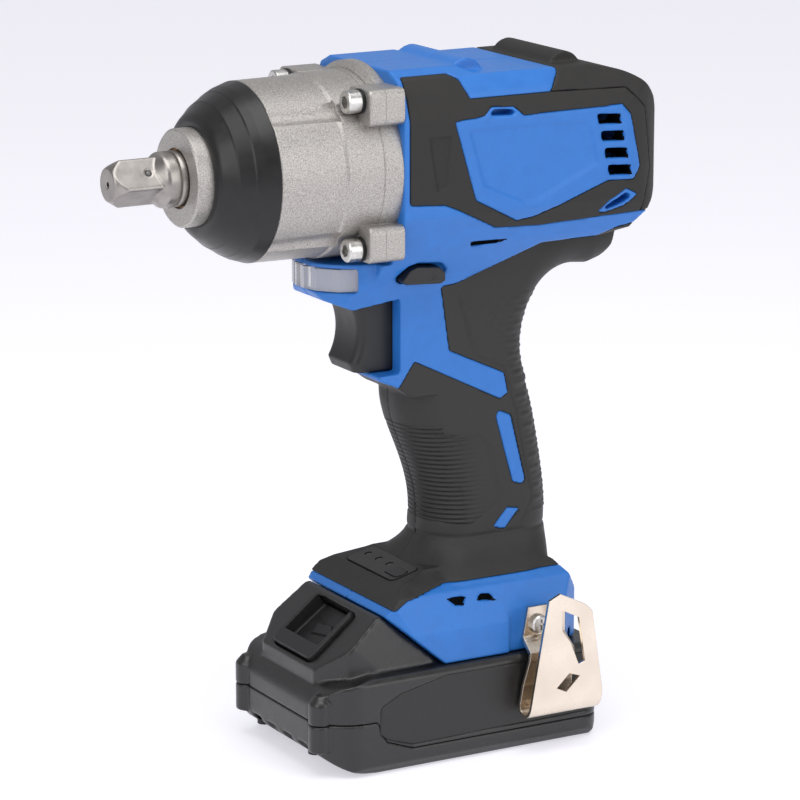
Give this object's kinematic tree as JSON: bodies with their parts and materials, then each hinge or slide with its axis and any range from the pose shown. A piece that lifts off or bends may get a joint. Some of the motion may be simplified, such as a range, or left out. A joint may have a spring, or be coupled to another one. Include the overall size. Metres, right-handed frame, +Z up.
{
  "type": "cordless impact wrench",
  "caption": "Cordless impact wrench: planetary hammer drive to a square anvil, overmoulded pistol grip, side belt hook and slide-on battery pack.",
  "frame": {"origin": "centre of the battery pack's flat underside, on which the tool stands", "axes": "+X out of the nose along the tool axis, +Y to the operator's left, +Z up"},
  "size_m": [0.2157, 0.0863, 0.2574],
  "materials": {
    "blue_plastic": "satin, fine grain",
    "dark_elastomer": "matte, grained",
    "charcoal_plastic": "satin",
    "battery_plastic": "satin, fine grain",
    "die_cast": "as cast, lightly blasted",
    "drive_steel": "machined",
    "dark_steel": "hardened",
    "zinc_screw": "zinc plated",
    "black_screw": "black oxide",
    "spring_steel": "drawn",
    "bronze": "sintered",
    "lamination": "stacked sheet",
    "magnet": "nickel plated",
    "copper": "enamelled wire",
    "fan_plastic": "moulded",
    "clear_lens": "clear",
    "board": "solder mask",
    "led_board": "white solder mask",
    "panel": "printed film",
    "panel_lights": "diffusing",
    "nickel_hook": "nickel plated",
    "brass_blades": "bright",
    "cell_can": "wrapped",
    "cell_frame": "moulded"
  },
  "bodies": {
    "housing": {"left_housing": "blue_plastic", "right_housing": "blue_plastic", "left_barrel_overmould": "dark_elastomer", "right_barrel_overmould": "dark_elastomer", "left_grip_overmould": "dark_elastomer", "right_grip_overmould": "dark_elastomer", "rear_cover": "charcoal_plastic", "cover_screws": "black_screw", "housing_screws": "black_screw", "hammer_case": "die_cast", "nose_boot": "dark_elastomer", "gear_case": "die_cast", "ring_gear": "dark_steel", "case_screws": "zinc_screw", "case_washers": "black_screw", "anvil_bushing": "bronze", "carrier_bearing": "dark_steel", "shaft_bearings": "drive_steel", "stator_core": "lamination", "stator_windings": "copper", "sensor_board": "board", "lens": "clear_lens", "light_board": "led_board", "control_panel": "panel", "indicator_lights": "panel_lights", "control_board": "board", "terminal_block": "charcoal_plastic", "terminal_blades": "brass_blades", "switch_module": "fan_plastic", "trigger_spring": "spring_steel", "belt_hook": "nickel_hook", "hook_screw": "black_screw"},
    "anvil": {"anvil": "drive_steel", "detent_spring": "spring_steel"},
    "detent": {"detent_pin": "dark_steel"},
    "carrier": {"carrier": "dark_steel", "planet_pins": "drive_steel", "cam_balls": "magnet", "spring_washer": "dark_steel", "hammer_spring": "spring_steel"},
    "hammer": {"hammer": "dark_steel"},
    "planet_1": {"planet_gear_1": "dark_steel"},
    "planet_2": {"planet_gear_2": "dark_steel"},
    "planet_3": {"planet_gear_3": "dark_steel"},
    "rotor": {"rotor_shaft": "drive_steel", "rotor_core": "lamination", "rotor_magnets": "magnet", "cooling_fan": "fan_plastic"},
    "trigger": {"trigger": "charcoal_plastic"},
    "selector": {"direction_selector": "charcoal_plastic"},
    "mode_button": {"mode_button": "charcoal_plastic"},
    "battery": {"pack_upper": "battery_plastic", "pack_lower": "battery_plastic", "pack_inlays": "battery_plastic", "pack_screws": "black_screw", "cells": "cell_can", "cell_holder": "cell_frame", "pack_board": "board", "release_springs": "spring_steel"},
    "release_button": {"release_button": "charcoal_plastic"}
  },
  "joints": [
    {"name": "battery_slide", "type": "slide", "parent": "housing", "child": "battery", "axis": [1, 0, 0], "range_m": [0, 0.075]},
    {"name": "release_button_push", "type": "slide", "parent": "battery", "child": "release_button", "axis": [-0.6248, 0, -0.7808], "range_m": [0, 0.003], "stiffness_N_per_m": 900, "springref_m": -0.003, "deforming": ["release_springs"]},
    {"name": "trigger_pull", "type": "slide", "parent": "housing", "child": "trigger", "axis": [-1, 0, 0], "range_m": [0, 0.006], "stiffness_N_per_m": 700, "springref_m": -0.004, "deforming": ["trigger_spring"]},
    {"name": "selector_slide", "type": "slide", "parent": "housing", "child": "selector", "axis": [0, 1, 0], "range_m": [-0.0025, 0.0025]},
    {"name": "mode_button_press", "type": "slide", "parent": "housing", "child": "mode_button", "axis": [-0.249, 0, -0.9685], "range_m": [0, 0.0006], "stiffness_N_per_m": 1500, "springref_m": -0.0004},
    {"name": "carrier_spin", "type": "hinge", "parent": "housing", "child": "carrier", "pos_m": [0.02, 0, 0.22], "axis": [1, 0, 0], "continuous": true},
    {"name": "anvil_spin", "type": "hinge", "parent": "housing", "child": "anvil", "pos_m": [0.085, 0, 0.22], "axis": [1, 0, 0], "continuous": true},
    {"name": "rotor_spin", "type": "hinge", "parent": "housing", "child": "rotor", "pos_m": [-0.03, 0, 0.22], "axis": [1, 0, 0], "continuous": true},
    {"name": "hammer_slide", "type": "slide", "parent": "carrier", "child": "hammer", "axis": [-1, 0, 0], "range_m": [0, 0.01], "stiffness_N_per_m": 6000, "springref_m": -0.006, "deforming": ["hammer_spring"]},
    {"name": "detent_push", "type": "slide", "parent": "anvil", "child": "detent", "axis": [0, -0.7826, -0.6225], "range_m": [0, 0.0012], "stiffness_N_per_m": 900, "springref_m": -0.0008, "deforming": ["detent_spring"]},
    {"name": "planet_1_spin", "type": "hinge", "parent": "carrier", "child": "planet_1", "pos_m": [0.02, 0.01215, 0.22], "axis": [1, 0, 0], "continuous": true},
    {"name": "planet_2_spin", "type": "hinge", "parent": "carrier", "child": "planet_2", "pos_m": [0.02, -0.00607, 0.23052], "axis": [1, 0, 0], "continuous": true},
    {"name": "planet_3_spin", "type": "hinge", "parent": "carrier", "child": "planet_3", "pos_m": [0.02, -0.00607, 0.20948], "axis": [1, 0, 0], "continuous": true}
  ],
  "couplings": [
    {"joint": "anvil_spin", "follows": "carrier_spin", "ratio": 1},
    {"joint": "rotor_spin", "follows": "carrier_spin", "ratio": 6},
    {"joint": "planet_1_spin", "follows": "carrier_spin", "ratio": -2.5},
    {"joint": "planet_2_spin", "follows": "carrier_spin", "ratio": -2.5},
    {"joint": "planet_3_spin", "follows": "carrier_spin", "ratio": -2.5}
  ]
}
